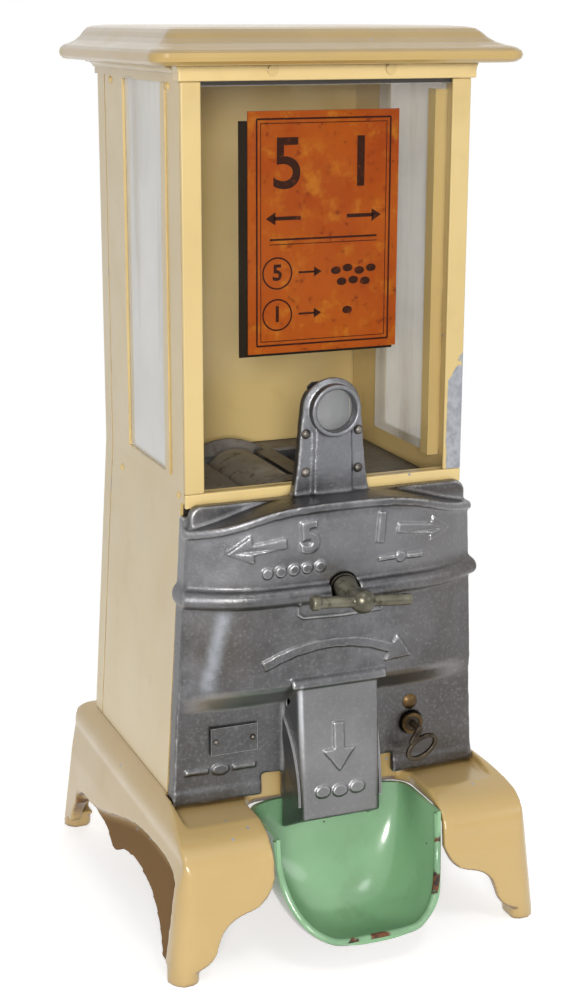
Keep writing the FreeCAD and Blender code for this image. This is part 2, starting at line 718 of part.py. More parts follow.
def gear(teeth, phase, x, z, bore):
    """Spur gear about an axis along Y, with one tooth centred at the phase angle."""
    pitch_r = gear_module * teeth / 2
    corners = []
    for height, side in ((-1.15, -1), (0.8, -1), (0.8, 1), (-1.15, 1)):
        radius = pitch_r + height * gear_module
        half = (0.69 - height * math.tan(math.radians(20))) * gear_module
        corners.append((radius, side * half / radius))
    points = []
    for i in range(teeth):
        centre = math.radians(phase) + 2 * math.pi * i / teeth
        for radius, turn in corners:
            points.append((x + radius * math.cos(centre + turn), z + radius * math.sin(centre + turn)))
    return prism_xz(straight(points), *gear_y).cut(rod_y(x, z, bore, -100, 0))


def make_hub():
    """Trumpet-shaped stem that ends in a domed boss, bored at its back for the shaft's spigot."""
    profile = [(-111.8, 6.0), (-107.4, 6.0), (-106.0, 5.5), (-105.4, 4.3), (-101.0, 4.5), (-96.0, 5.2),
               (-92.0, 6.1), (-89.0, 6.7)]
    dome_r = 6.6
    dome_y = profile[0][0] + math.sqrt(dome_r ** 2 - profile[0][1] ** 2)
    hub = Part.makeSphere(dome_r, V(0, dome_y, handle_z)).common(box(-9, 9, -130, profile[0][0], 150, 220))
    for (y0, r0), (y1, r1) in zip(profile, profile[1:]):
        if r0 == r1:
            hub = hub.fuse(rod_y(0, handle_z, r0, y0, y1))
        else:
            hub = hub.fuse(Part.makeCone(r0, r1, y1 - y0, V(0, y0, handle_z), V(0, 1, 0)))
    return hub.cut(rod_y(0, handle_z, spigot_r + run_gap, -100.0, -80)).removeSplitter()


def make_handle_bar():
    """Cross bar with a collared left end, and the hole it needs through the boss."""
    along = V(1, 0, 0)
    centre = V(0, -110.0, handle_z)
    bar = Part.makeCylinder(2.95, 51.0, centre - along * 25.2, along)
    bar = bar.fuse(Part.makeSphere(2.95, centre + along * 23.9).common(box(20, 40, -120, -100, 150, 220)))
    collar = Part.makeCylinder(3.8, 4.4, centre - along * 26.9, along)
    bar = bar.fuse(collar.makeFillet(1.2, [e for e in collar.Edges if len(e.Vertexes) == 1]))
    hole = Part.makeCylinder(3.0, 40, centre - along * 20, along)
    bar = bar.removeSplitter()
    for shape in (bar, hole):
        shape.rotate(centre, V(0, 1, 0), handle_tilt)
    return bar, hole


def make_handle():
    bar, hole = make_handle_bar()
    save("t_handle", make_hub().cut(hole))
    save("handle_bar", bar)
    shaft = rod_y(0, handle_z, shaft_r, -88.9, -37.5).fuse(rod_y(0, handle_z, spigot_r, -99.9, -88.9))
    save("handle_shaft", shaft.removeSplitter())
    bore = rod_y(0, handle_z, shaft_r + run_gap, -95, -30)
    save("shaft_bush", rod_y(0, handle_z, 7.4, -88.0, -78.5).cut(bore))
    wheel = rod_y(0, handle_z, 14.5, -76.0, -72.0).cut(bore)
    save("coin_wheel", wheel.cut(box(-1.2, 1.2, -80, -70, handle_z + 9, handle_z + 30)))
    pinion = gear(pinion_teeth, 0.0, 0, handle_z, shaft_r + run_gap)
    save("drive_pinion", pinion.fuse(rod_y(0, handle_z, 8, -46, -44.5)).cut(bore))
    save("shaft_collar", rod_y(0, handle_z, 6.9, -44.3, -38.5).cut(bore))


def drum_z(x):
    """Height of a drum's axis that puts its gear in mesh with the pinion."""
    return handle_z + math.sqrt(gear_reach ** 2 - x ** 2)


def mesh_phase(x):
    """Phase that puts a gap of the drum gear opposite the pinion's nearest tooth."""
    line = math.degrees(math.atan2(drum_z(x) - handle_z, x))
    pinion_pitch = 360 / pinion_teeth
    tooth = round(line / pinion_pitch) * pinion_pitch
    lead = (tooth - line) * pinion_teeth / drum_teeth
    return line + 180 - lead + 180 / drum_teeth


def make_drum(name, x, radius, pockets, pocket_r):
    """Measuring drum on its spindle, with lengthwise pockets clear of the top."""
    z = drum_z(x)
    drum = rod_y(x, z, radius, -36, 30)
    for i in range(pockets):
        angle = math.pi * (2 * i + 1) / pockets
        drum = drum.cut(rod_y(x + radius * math.sin(angle), z + radius * math.cos(angle), pocket_r, -29, 23))
    drum = drum.cut(rod_y(x, z, spindle_r + run_gap, -40, 50))
    save(name, drum)
    save(name + "_spindle", rod_y(x, z, spindle_r, -57.0, 51.0))
    save(name + "_gear", gear(drum_teeth, mesh_phase(x), x, z, spindle_r + run_gap))


def make_bearing_plates():
    outline = [(-44, floor_z), (44, floor_z), (44, 198), (18, 174), (-18, 174), (-44, 198)]
    front = prism_xz(straight(outline), -56, -54).cut(rod_y(0, handle_z, shaft_r + run_gap, -60, -50))
    rear = prism_xz(straight(outline), 48, 50)
    for name, plate in (("front_bearing_plate", front), ("rear_bearing_plate", rear)):
        for x in (large_drum_x, small_drum_x):
            plate = plate.cut(rod_y(x, drum_z(x), spindle_r + run_gap, -60, 60))
        save(name, plate)


def slot_half(radius, axis_z):
    """Half-width of the slot that lets a cylinder through the hopper floor."""
    return math.sqrt(radius ** 2 - (floor_z - axis_z) ** 2)


def make_hopper_floor():
    """Hopper floor: slots over the drums and the large gear, and an arched flange at the rear."""
    large_z = drum_z(large_drum_x)
    guard_r = gear_module * (drum_teeth / 2 + 0.8) + 0.8
    plate = box(-72.4, 72.4, -58.4, case_rear_y - sheet - 0.1, floor_z, floor_z + 1.5)
    drum_slot = (slot_half(large_drum_r, large_z) + 3, -37, 45)
    gear_slot = (slot_half(guard_r, large_z), -53.2, -45)
    for half, y0, y1 in (drum_slot, gear_slot):
        plate = plate.cut(box(large_drum_x - half, large_drum_x + half, y0, y1, 200, 240))
    plate = plate.cut(box(small_drum_x - 11, small_drum_x + 11, -37, 45, 200, 240))
    arch = rod_y(-12, 195, 36.2, 45, 47).common(box(-90, 90, 0, 90, floor_z, 300))
    save("hopper_floor", plate.fuse(arch).removeSplitter())
    guard = rod_y(large_drum_x, large_z, guard_r + 1.2, -54.4, -43.8)
    guard = guard.cut(rod_y(large_drum_x, large_z, guard_r, -53.2, -45))
    save("gear_guard", guard.common(box(-90, 90, -90, 90, floor_z + 1.52, 300)))


def chute_ring(y, half, z0, z1):
    corners = [V(-half, y, z0), V(half, y, z0), V(half, y, z1), V(-half, y, z1)]
    return Part.makePolygon(corners + corners[:1])


def make_delivery_chute():
    """Sloped trough from under the drums to the hood, open above except near the front."""
    ends = {
        "outer": [chute_ring(46, 50, 138, 176), chute_ring(-58.48, 19.8, 88.2, 125.8)],
        "inner": [chute_ring(44.8, 48.4, 139.8, 174.4), chute_ring(-70, 15.6, 85.4, 118.8)],
        "lift": [chute_ring(44.8, 48.4, 139.8, 220), chute_ring(-40, 24.6, 99.8, 220)],
    }
    block = {name: Part.makeLoft(rings, True, True) for name, rings in ends.items()}
    save("delivery_chute", block["outer"].cut(block["inner"]).cut(block["lift"]))


def make_coin_path():
    chute = box(-12.5, 12.5, -71.2, -66.4, 170, brow_z - 4.02).cut(box(-11.3, 11.3, -70.2, -67.4, 160, 210))
    chute = chute.cut(rod_y(0, handle_z, 8.0, -90, -60))
    save("coin_chute", chute)
    low_z = base_top_z + 1.62
    cash = box(40, 76, -50, 8, low_z, 120).cut(box(41.2, 74.8, -48.8, 6.8, low_z + 1.2, 130))
    save("cash_box", cash)


def build():
    os.makedirs("parts", exist_ok=True)
    make_base()
    make_base_fasteners()
    make_cup()
    make_cup_bracket()
    make_side_panels()
    make_rear_panel()
    make_front_panel()
    make_case_floor()
    make_front_frame()
    make_cornices()
    make_glazing()
    make_card()
    make_small_fasteners()
    make_lid()
    make_front_casting()
    make_coin_window()
    make_chute_cheeks()
    make_plate()
    make_lock()
    make_handle()
    make_drum("large_drum", large_drum_x, large_drum_r, 2, 7.5)
    make_drum("small_drum", small_drum_x, small_drum_r, 4, 5.5)
    make_bearing_plates()
    make_hopper_floor()
    make_delivery_chute()
    make_coin_path()


build()
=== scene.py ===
import math
import bmesh
import bpy
from mathutils import Matrix, Vector
from mathutils.bvhtree import BVHTree


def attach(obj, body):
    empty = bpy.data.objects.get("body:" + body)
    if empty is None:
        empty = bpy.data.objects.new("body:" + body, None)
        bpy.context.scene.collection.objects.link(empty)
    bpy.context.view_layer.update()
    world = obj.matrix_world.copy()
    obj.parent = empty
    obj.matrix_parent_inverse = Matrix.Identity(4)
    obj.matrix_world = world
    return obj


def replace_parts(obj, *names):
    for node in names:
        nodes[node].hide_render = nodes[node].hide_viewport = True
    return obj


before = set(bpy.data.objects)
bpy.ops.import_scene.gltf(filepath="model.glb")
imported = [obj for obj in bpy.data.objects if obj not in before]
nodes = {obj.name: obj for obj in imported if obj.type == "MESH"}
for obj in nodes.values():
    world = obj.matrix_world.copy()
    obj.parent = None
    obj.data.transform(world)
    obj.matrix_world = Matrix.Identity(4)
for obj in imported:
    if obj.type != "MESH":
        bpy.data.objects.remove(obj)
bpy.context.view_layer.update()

scene = bpy.context.scene
scene.view_settings.view_transform = "Standard"
caseY = 0.0226  # the cabinet's centre in the model's frame
print("frame loaded", len(nodes), "nodes")

# Camera and light

viewpoint = {"place": (-0.34172, -0.82412, 0.45546), "azimuth": -21.66, "elevation": 15.17,
             "lens": 63.93, "sensor": 36, "shift": (0.014, -0.0021), "nearest": 0.01}
camera = bpy.data.objects.new("camera", bpy.data.cameras.new("camera"))
scene.collection.objects.link(camera)
camera.location = viewpoint["place"]
camera.rotation_euler = (math.radians(90 - viewpoint["elevation"]), 0, math.radians(viewpoint["azimuth"]))
camera.data.lens = viewpoint["lens"]
camera.data.sensor_width = viewpoint["sensor"]
camera.data.shift_x, camera.data.shift_y = viewpoint["shift"]
camera.data.clip_start = viewpoint["nearest"]
scene.camera = camera

lampAim = Vector((0, 0, 0.2))
softboxes = {
    "key": {"place": (-0.64, -1.56, 0.62), "size": 0.45, "power": 22.0, "tint": (1.0, 0.98, 0.95)},
    "overhead": {"place": (0.05, -0.80, 1.45), "size": 0.40, "power": 2.4, "tint": (0.98, 0.99, 1.0)},
    "right": {"place": (1.10, -1.20, 0.70), "size": 0.6, "power": 2.0, "tint": (0.96, 0.98, 1.0)},
    "rear": {"place": (0.60, 1.40, 0.95), "size": 1.2, "power": 9.0, "tint": (1.0, 0.98, 0.95),
             "glint": False},
}
for name, lamp in softboxes.items():
    light = bpy.data.lights.new(name, "AREA")
    light.shape = "DISK"
    light.size = lamp["size"]
    light.energy = lamp["power"]
    light.color = lamp["tint"]
    stand = bpy.data.objects.new(name, light)
    stand.location = lamp["place"]
    stand.visible_glossy = lamp.get("glint", True)
    stand.rotation_euler = (lampAim - stand.location).to_track_quat("-Z", "Y").to_euler()
    scene.collection.objects.link(stand)

paper = {"given": 0.28, "shown": 1.0}  # light on the object, white in the picture


def paperGlow(tree, given, shown):
    path = tree.nodes.new("ShaderNodeLightPath")
    seen = path.outputs["Is Camera Ray"]
    for ray in ("Is Glossy Ray", "Is Transmission Ray"):
        either = tree.nodes.new("ShaderNodeMath")
        either.operation = "MAXIMUM"
        tree.links.new(seen, either.inputs[0])
        tree.links.new(path.outputs[ray], either.inputs[1])
        seen = either.outputs[0]
    level = tree.nodes.new("ShaderNodeMapRange")
    level.inputs["To Min"].default_value = given
    level.inputs["To Max"].default_value = shown
    tree.links.new(seen, level.inputs["Value"])
    return level.outputs["Result"]


def makeWorld():
    world = bpy.data.worlds.new("studio")
    world.use_nodes = True
    background = world.node_tree.nodes["Background"]
    background.inputs["Color"].default_value = (1, 1, 1, 1)
    world.node_tree.links.new(paperGlow(world.node_tree, **paper), background.inputs["Strength"])
    scene.world = world


makeWorld()
print("light set", len(softboxes), "lamps")


# Materials

def tone(code):
    parts = [int(code[i:i + 2], 16) / 255 for i in (0, 2, 4)]
    return tuple(c / 12.92 if c <= 0.04045 else ((c + 0.055) / 1.055) ** 2.4 for c in parts) + (1.0,)


class Look:
    def __init__(self, name):
        self.material = bpy.data.materials.new(name)
        self.material.use_nodes = True
        self.tree = self.material.node_tree
        self.shader = self.tree.nodes["Principled BSDF"]
        self.place = self.add("ShaderNodeTexCoord").outputs["Object"]

    def add(self, kind, **settings):
        node = self.tree.nodes.new(kind)
        for key, value in settings.items():
            setattr(node, key, value)
        return node

    def feed(self, socket, value):
        if isinstance(value, bpy.types.NodeSocket):
            self.tree.links.new(value, socket)
        else:
            socket.default_value = value

    def stretched(self, x, y, z):
        node = self.add("ShaderNodeMapping")
        self.feed(node.inputs["Vector"], self.place)
        node.inputs["Scale"].default_value = (x, y, z)
        return node.outputs["Vector"]

    def noise(self, scale, detail=4.0, rough=0.55, at=None):
        node = self.add("ShaderNodeTexNoise")
        self.feed(node.inputs["Vector"], at or self.place)
        for key, value in (("Scale", scale), ("Detail", detail), ("Roughness", rough)):
            node.inputs[key].default_value = value
        return node.outputs["Fac"]

    def cells(self, scale, output):
        node = self.add("ShaderNodeTexVoronoi")
        self.feed(node.inputs["Vector"], self.place)
        node.inputs["Scale"].default_value = scale
        return node.outputs[output]

    def ramp(self, value, low, high, start=0.0, end=1.0):
        node = self.add("ShaderNodeMapRange", interpolation_type="SMOOTHSTEP")
        settings = {"Value": value, "From Min": low, "From Max": high, "To Min": start, "To Max": end}
        for key, setting in settings.items():
            self.feed(node.inputs[key], setting)
        return node.outputs["Result"]

    def band(self, value, rise, fall, full=1.0):  # nothing, then full, then nothing
        return self.times(self.ramp(value, *rise), self.ramp(value, *fall, 0, full))

    def calc(self, operation, *values):
        total = values[0]
        for value in values[1:]:
            node = self.add("ShaderNodeMath", operation=operation)
            self.feed(node.inputs[0], total)
            self.feed(node.inputs[1], value)
            total = node.outputs[0]
        return total

    def times(self, *values):
        return self.calc("MULTIPLY", *values)

    def plus(self, *values):
        return self.calc("ADD", *values)

    def minus(self, a, b):
        return self.calc("SUBTRACT", a, b)

    def most(self, *values):
        return self.calc("MAXIMUM", *values)

    def unsigned(self, value):
        return self.calc("ABSOLUTE", value, 0.0)

    def mix(self, share, a, b):
        node = self.add("ShaderNodeMix", data_type="RGBA")
        self.feed(node.inputs["Factor"], share)
        self.feed(node.inputs[6], a)
        self.feed(node.inputs[7], b)
        return node.outputs[2]

    def clouded(self, value, first, second):
        return self.mix(self.ramp(value, 0.3, 0.7), tone(first), tone(second))

    def tint(self, color, share, code):
        return self.mix(share, color, tone(code))

    def axes(self):
        node = self.add("ShaderNodeSeparateXYZ")
        self.feed(node.inputs[0], self.place)
        return node.outputs

    def facing(self, low, high):  # by how far the surface faces up
        node = self.add("ShaderNodeSeparateXYZ")
        self.feed(node.inputs[0], self.add("ShaderNodeNewGeometry").outputs["Normal"])
        return self.ramp(node.outputs[2], low, high)

    def edges(self, radius, low, high):
        bevel = self.add("ShaderNodeBevel", samples=4)
        bevel.inputs["Radius"].default_value = radius
        match = self.add("ShaderNodeVectorMath", operation="DOT_PRODUCT")
        self.feed(match.inputs[0], bevel.outputs["Normal"])
        self.feed(match.inputs[1], self.add("ShaderNodeNewGeometry").outputs["Normal"])
        return self.ramp(match.outputs["Value"], 1 - low, 1 - high)

    def peaks(self, low, high, full=1.0):
        return self.ramp(self.add("ShaderNodeNewGeometry").outputs["Pointiness"], low, high, 0, full)

    def shelter(self, reach, low=0.35, high=0.95):
        node = self.add("ShaderNodeAmbientOcclusion", samples=6)
        node.inputs["Distance"].default_value = reach
        return self.ramp(node.outputs["AO"], high, low)

    def near(self, point, radius, ragged):
        gap = self.add("ShaderNodeVectorMath", operation="DISTANCE")
        self.feed(gap.inputs[0], self.place)
        gap.inputs[1].default_value = point
        reach = self.plus(gap.outputs["Value"], self.times(ragged, radius * 1.6))
        return self.ramp(reach, radius * 1.9, radius * 1.6)

    def spots(self, scale, size, share):
        near = self.ramp(self.cells(scale, "Distance"), size, size * 0.75)
        pick = self.add("ShaderNodeSeparateColor")
        self.feed(pick.inputs[0], self.cells(scale, "Color"))
        return self.times(near, self.ramp(pick.outputs[0], 1 - share, 1 - share + 0.02))

    def bump(self, height, depth, strength):
        node = self.add("ShaderNodeBump")
        node.inputs["Distance"].default_value = depth
        node.inputs["Strength"].default_value = strength
        self.feed(node.inputs["Height"], height)
        return node.outputs["Normal"]

    def dress(self, **inputs):
        names = {"color": "Base Color", "metal": "Metallic", "rough": "Roughness", "normal": "Normal",
                 "alpha": "Alpha", "coat": "Coat Weight", "coatRough": "Coat Roughness",
                 "specular": "Specular IOR Level"}
        for key, value in inputs.items():
            self.feed(self.shader.inputs[names[key]], value)
        return self.material


creamTones = {"stain": "b3945d", "grimeAndShade": "6b5130", "undercut": "7b5a33", "below": "6b4c2a", "broadShade": "7a5f3a",
              "dustAndShade": "8a744c", "halo": "7d6a48", "metal": ("a9acb2", "8d9098")}
undercut = {  # painted shade under the arch on each side of the base
    "length": (-0.0374, 0.0826), "top": (0.0545, 0.0295), "fade": (-0.0025, 0.0075), "side": (0.085, 0.090),
    "ends": ((-0.081, -0.076), (0.088, 0.084)),
}
barePatch = {  # paint gone at the foot of the right post
    "ragged": 0.03, "corner": 0.066, "slope": -1.4, "sway": 0.12,
    "top": (0.2795, 0.2785), "inner": (0.0655, 0.0659),
}


def creamPaint(name, light, deep, dots, bare=False, baseShade=0.0, dustShade=0.0):
    look = Look(name)
    coat = 0.75
    rough = look.ramp(look.noise(28, 4), 0.3, 0.7, 0.30, 0.42)
    color = look.clouded(look.noise(9, 3), light, deep)
    color = look.tint(color, look.ramp(look.noise(60, 4), 0.55, 0.8, 0, 0.2), creamTones["stain"])
    # grime and painted shade, darker in tight corners
    grimeAndShade = look.times(look.shelter(0.005, 0.2, 0.62), look.ramp(look.noise(45, 5), 0.3, 0.65, 0.3, 0.9))
    color = look.tint(color, grimeAndShade, creamTones["grimeAndShade"])
    if baseShade:
        x, y, z = look.axes()
        line = look.ramp(y, *undercut["length"], *undercut["top"])
        shade = look.times(look.ramp(look.minus(line, z), *undercut["fade"]),
                           look.ramp(look.unsigned(x), *undercut["side"]),
                           look.band(y, *undercut["ends"]))
        # painted shade in the undercut band under the arch
        color = look.tint(color, look.times(shade, 0.95), creamTones["undercut"])
        # painted shade on faces that turn down
        color = look.tint(color, look.facing(-0.08, -0.55), creamTones["below"])
        coat = look.ramp(shade, 0.0, 0.8, coat, 0.0)  # matt in the undercut
        rough = look.most(rough, look.times(shade, 0.95))
        # painted shade where the base is sheltered
        color = look.tint(color, look.times(look.shelter(0.03, 0.25, 0.9), baseShade), creamTones["broadShade"])
    if dustShade:  # dust and painted shade where the moulding faces up
        slopes = look.times(look.facing(0.15, 0.75), look.facing(0.998, 0.95))
        dustShadeMask = look.times(slopes, look.ramp(look.noise(30, 4), 0.25, 0.7, dustShade * 0.7, dustShade))
        color = look.tint(color, dustShadeMask, creamTones["dustAndShade"])
    ragged = look.noise(210, 5, 0.65)
    chip = look.times(look.edges(0.0012, 0.08, 0.4), look.ramp(look.noise(34, 3), 0.60, 0.66),
                      look.ramp(ragged, 0.46, 0.52))
    chip = look.most(chip, look.spots(44, 0.042, dots), look.spots(110, 0.11, dots * 0.45))
    if bare:
        x, y, z = look.axes()
        shift = look.times(look.minus(look.noise(70, 5, 0.6), 0.5), barePatch["ragged"])
        slope = look.times(look.minus(x, barePatch["corner"]), barePatch["slope"])
        inner = look.plus(x, look.times(shift, barePatch["sway"]))
        patch = look.times(look.ramp(look.plus(z, shift, slope), *barePatch["top"]),
                           look.ramp(inner, *barePatch["inner"]))
        chip = look.most(chip, patch)
    color = look.tint(color, look.minus(look.ramp(chip, 0.02, 0.4), chip), creamTones["halo"])
    metal = [tone(code) for code in creamTones["metal"]]
    color = look.mix(chip, color, look.mix(look.ramp(ragged, 0.35, 0.65), *metal))
    height = look.plus(look.times(look.noise(260, 3), 0.3), look.times(chip, -0.6))
    normal = look.bump(height, 0.00012, 0.5)
    return look.dress(color=color, rough=rough, normal=normal, coat=coat, coatRough=0.16)


castTones = {"dark": "545456", "light": "737376", "earthy": "5c5751", "low": "545352", "right": "5a5552",
             "hood": "8c8c8d", "brow": "8e8e91", "tongue": "8b8c90", "speckle": "a3a3a4", "pits": "343231",
             "dirtAndShade": "262321", "rubbedHighlight": "c9c9c8", "hollow": "211f1d", "filletLight": "bcbcbe", "corner": "dcdee2",
             "bendReflection": "cdd5e0", "edge": "b4b4b4"}
castZones = {  # where each tone comes in and goes out
    "besideHood": (0.024, 0.029), "low": (0.150, 0.112), "right": (0.010, 0.070), "hood": (0.139, 0.128),
    "brow": ((0.187, 0.194), (0.224, 0.219)), "tongue": (0.230, 0.245),
    "crease": ((0.118, 0.124), (0.150, 0.144)),
    "filletLight": ((0.114, 0.119), (0.137, 0.132)), "filletRight": (0.0, 0.04),
    "cornerOff": 0.0208, "cornerWide": (0.0016, 0.0002), "cornerDeep": (-0.052, -0.056),
    "corner": ((0.085, 0.122), (0.136, 0.132)),
    "bendRun": (0.135, 0.185), "bendLean": (-0.0668, -0.0595), "bendWide": (0.0058, 0.0),
    "bendReflection": ((0.128, 0.140), (0.181, 0.172)),
}


def castMetal(name, worn):
    look = Look(name)
    x, y, z = look.axes()
    cloud = look.noise(42, 5, 0.6)
    color = look.clouded(cloud, castTones["dark"], castTones["light"])
    color = look.tint(color, look.ramp(look.noise(12, 3), 0.42, 0.72, 0, 0.7), castTones["earthy"])
    aside = look.ramp(look.unsigned(x), *castZones["besideHood"])
    low = look.times(look.ramp(z, *castZones["low"], 0, 0.55), aside)
    color = look.tint(color, low, castTones["low"])  # duller low down
    right = look.times(look.ramp(x, *castZones["right"], 0, 0.5), aside)
    color = look.tint(color, right, castTones["right"])
    hood = look.times(look.ramp(aside, 1, 0), look.ramp(z, *castZones["hood"], 0, 0.6))
    color = look.tint(color, hood, castTones["hood"])  # brighter on the hood, brow and tongue
    # painted highlight: the brow's band is lighter
    color = look.tint(color, look.band(z, *castZones["brow"], 0.45), castTones["brow"])
    color = look.tint(color, look.ramp(z, *castZones["tongue"], 0, 0.6), castTones["tongue"])
    color = look.tint(color, look.ramp(look.noise(520, 6, 0.75), 0.48, 0.76, 0, 0.36), castTones["speckle"])
    pits = look.ramp(look.noise(420, 5, 0.7), 0.36, 0.26)
    color = look.tint(color, look.times(pits, 0.4), castTones["pits"])
    # dirt and painted shade in sheltered places
    dirtAndShade = look.times(look.shelter(0.006 if worn else 0.0015, 0.2, 0.75),
                      look.ramp(look.noise(70, 5), 0.25, 0.6, 0.35, 0.75))
    color = look.tint(color, dirtAndShade, castTones["dirtAndShade"])
    # worn brings wear and painted light: rubbed peaks, painted shade in hollows, painted highlights and a
    # painted reflection
    if worn:
        # rubbed high points, partly wear and partly painted highlight
        rubAndGlint = look.ramp(look.noise(90, 5, 0.65), 0.35, 0.65, 0.25, 0.95)
        color = look.tint(color, look.times(look.peaks(0.508, 0.56), rubAndGlint), castTones["rubbedHighlight"])
        crease = look.times(look.band(z, *castZones["crease"]), aside)
        # painted shade in concave creases
        hollow = look.times(look.peaks(0.49, 0.43, 0.65), look.ramp(crease, 0, 1, 1.0, 0.15))
        color = look.tint(color, hollow, castTones["hollow"])
        filletLight = look.times(look.band(z, *castZones["filletLight"], 0.6), look.facing(-0.1, -0.5),
                            look.ramp(x, *castZones["filletRight"], 1.0, 0.35), aside)
        color = look.tint(color, filletLight, castTones["filletLight"])  # painted highlight above the apron, on the fillet that faces down
        off = look.unsigned(look.plus(x, castZones["cornerOff"]))
        corner = look.times(look.ramp(off, *castZones["cornerWide"]), look.band(z, *castZones["corner"]),
                            look.ramp(y, *castZones["cornerDeep"], 0, 0.6))
        color = look.tint(color, corner, castTones["corner"])  # painted highlight on the hood's corner
        off = look.unsigned(look.minus(x, look.ramp(z, *castZones["bendRun"], *castZones["bendLean"])))
        bendReflection = look.times(look.ramp(off, *castZones["bendWide"]), look.band(z, *castZones["bendReflection"]),
                          look.ramp(look.noise(120, 4), 0.3, 0.6, 0.15, 0.38))
        color = look.tint(color, bendReflection, castTones["bendReflection"])  # painted reflection streak on the bend on the left
    else:
        # painted highlight along the edges
        color = look.tint(color, look.edges(0.0006, 0.03, 0.3), castTones["edge"])
    lumps = look.times(look.noise(190, 4, 0.6), look.ramp(z, *castZones["tongue"], 0, 2.0))  # rough tongue
    height = look.plus(look.times(look.noise(640, 5, 0.7), 0.6), look.times(pits, -0.5),
                       look.times(cloud, 1.2), lumps)
    return look.dress(color=color, metal=0.95, rough=look.ramp(cloud, 0.3, 0.7, 0.27, 0.42),
                      normal=look.bump(height, 0.0005, 0.5))


def wornMetal(name, dark, light, stain, rough):
    look = Look(name)
    cloud = look.noise(60, 5, 0.6)
    color = look.clouded(cloud, dark, light)
    color = look.tint(color, look.ramp(look.noise(170, 5, 0.65), 0.55, 0.68, 0, 0.8), stain)
    color = look.tint(color, look.edges(0.0008, 0.03, 0.3), light)
    # painted shade in recesses
    color = look.tint(color, look.shelter(0.004), "1d1a16")
    return look.dress(color=color, metal=0.9, rough=look.ramp(cloud, 0.3, 0.7, rough - 0.08, rough + 0.1),
                      normal=look.bump(look.noise(300, 4, 0.6), 0.0002, 0.4))


enamelTones = {"bowl": ("8fbb8f", "82ae83"), "stain": "6f8d66", "deep": "557a5a", "pocks": "2f3a2a",
               "below": ("3d4636", "5a4632"), "rim": ("8ab48a", "759f79"), "rust": ("24170f", "704220"),
               "rimBelowShade": "3b3224"}
rustSpots = (((0.0390, -0.0975, 0.0318), 0.0060), ((0.0010, -0.1120, 0.0165), 0.0055),
             ((-0.0135, -0.1120, 0.0165), 0.0032), ((0.0435, -0.0885, 0.0520), 0.0022),
             ((-0.0420, -0.0905, 0.0440), 0.0020))  # place and radius along the rim


def greenEnamel():
    look = Look("greenEnamel")
    cloud = look.noise(22, 3)
    color = look.clouded(cloud, *enamelTones["bowl"])
    color = look.tint(color, look.ramp(look.noise(48, 5, 0.6), 0.55, 0.75, 0, 0.35), enamelTones["stain"])
    # painted shade deep in the bowl
    color = look.tint(color, look.shelter(0.03, 0.25, 0.9), enamelTones["deep"])
    # painted shade on the cup's underside, which faces down
    below = [tone(code) for code in enamelTones["below"]]
    color = look.mix(look.facing(-0.1, -0.6), color, look.mix(look.noise(120, 5), *below))
    color = look.tint(color, look.spots(70, 0.045, 0.14), enamelTones["pocks"])
    return look.dress(color=color, rough=look.ramp(cloud, 0.3, 0.7, 0.16, 0.26), coat=0.4, coatRough=0.08,
                      normal=look.bump(look.noise(160, 2), 0.00012, 0.35))


def rimEnamel():
    look = Look("rimEnamel")
    ragged = look.noise(260, 5, 0.65)
    color = look.clouded(look.noise(40, 3), *enamelTones["rim"])
    rust = look.spots(150, 0.12, 0.12)
    for point, radius in rustSpots:
        rust = look.most(rust, look.near(point, radius, ragged))
    rusty = [tone(code) for code in enamelTones["rust"]]
    color = look.mix(rust, color, look.mix(look.ramp(look.noise(420, 4), 0.4, 0.6), *rusty))
    # painted shade on the rim where it faces down
    color = look.tint(color, look.facing(-0.35, -0.8), enamelTones["rimBelowShade"])
    height = look.times(rust, look.minus(look.noise(400, 4), 1.2))
    return look.dress(color=color, rough=look.ramp(rust, 0, 1, 0.16, 0.8), coat=0.3, coatRough=0.1,
                      normal=look.bump(height, 0.0003, 0.7))


# painted shadow line along the front pane's top
shadowLine = {"fade": 0.0006, "cover": 0.85, "tone": "2c241b"}


def paneGlass(name, body, stain, clear, dull, streak, coat=0.8, shadowFrom=None):
    look = Look(name)
    run = look.noise(26, 5, 0.6, at=look.stretched(1, 1, 0.12))
    haze = look.ramp(look.noise(14, 4), 0.3, 0.75, clear, dull)
    alpha = look.plus(haze, look.ramp(run, 0.56, 0.74, 0, streak))
    color = look.mix(look.ramp(run, 0.5, 0.72, 0, 0.8), tone(body), tone(stain))
    if shadowFrom:  # painted shadow line along the pane's top
        line = look.ramp(look.axes()[2], shadowFrom, shadowFrom + shadowLine["fade"])
        alpha = look.most(alpha, look.times(line, shadowLine["cover"]))
        color = look.tint(color, line, shadowLine["tone"])
    return look.dress(color=color, rough=look.ramp(run, 0.4, 0.7, 0.08, 0.3), alpha=alpha, coat=coat,
                      coatRough=0.05)


printTones = {"card": ("8f380f", "a14d14"), "faded": "b36f1f", "foxed": "6a2a0f", "ink": "30170c",
              "inkWorn": "823a16"}


def cardPrint():
    look = Look("cardPrint")
    blotch = look.noise(95, 6, 0.7)
    color = look.clouded(look.noise(16, 4, 0.6), *printTones["card"])
    color = look.tint(color, look.ramp(blotch, 0.5, 0.7, 0, 0.7), printTones["faded"])
    color = look.tint(color, look.ramp(look.noise(210, 5, 0.7), 0.56, 0.7, 0, 0.85), printTones["foxed"])
    return look.dress(color=color, rough=look.ramp(blotch, 0.3, 0.7, 0.6, 0.8), specular=0.05,
                      normal=look.bump(look.noise(600, 4), 0.0001, 0.4))


def inkPrint():
    look = Look("inkPrint")
    worn = look.ramp(look.noise(420, 5, 0.7), 0.56, 0.68, 0, 0.45)
    color = look.mix(worn, tone(printTones["ink"]), tone(printTones["inkWorn"]))
    return look.dress(color=color, rough=look.ramp(worn, 0, 1, 0.6, 0.75), specular=0.05)


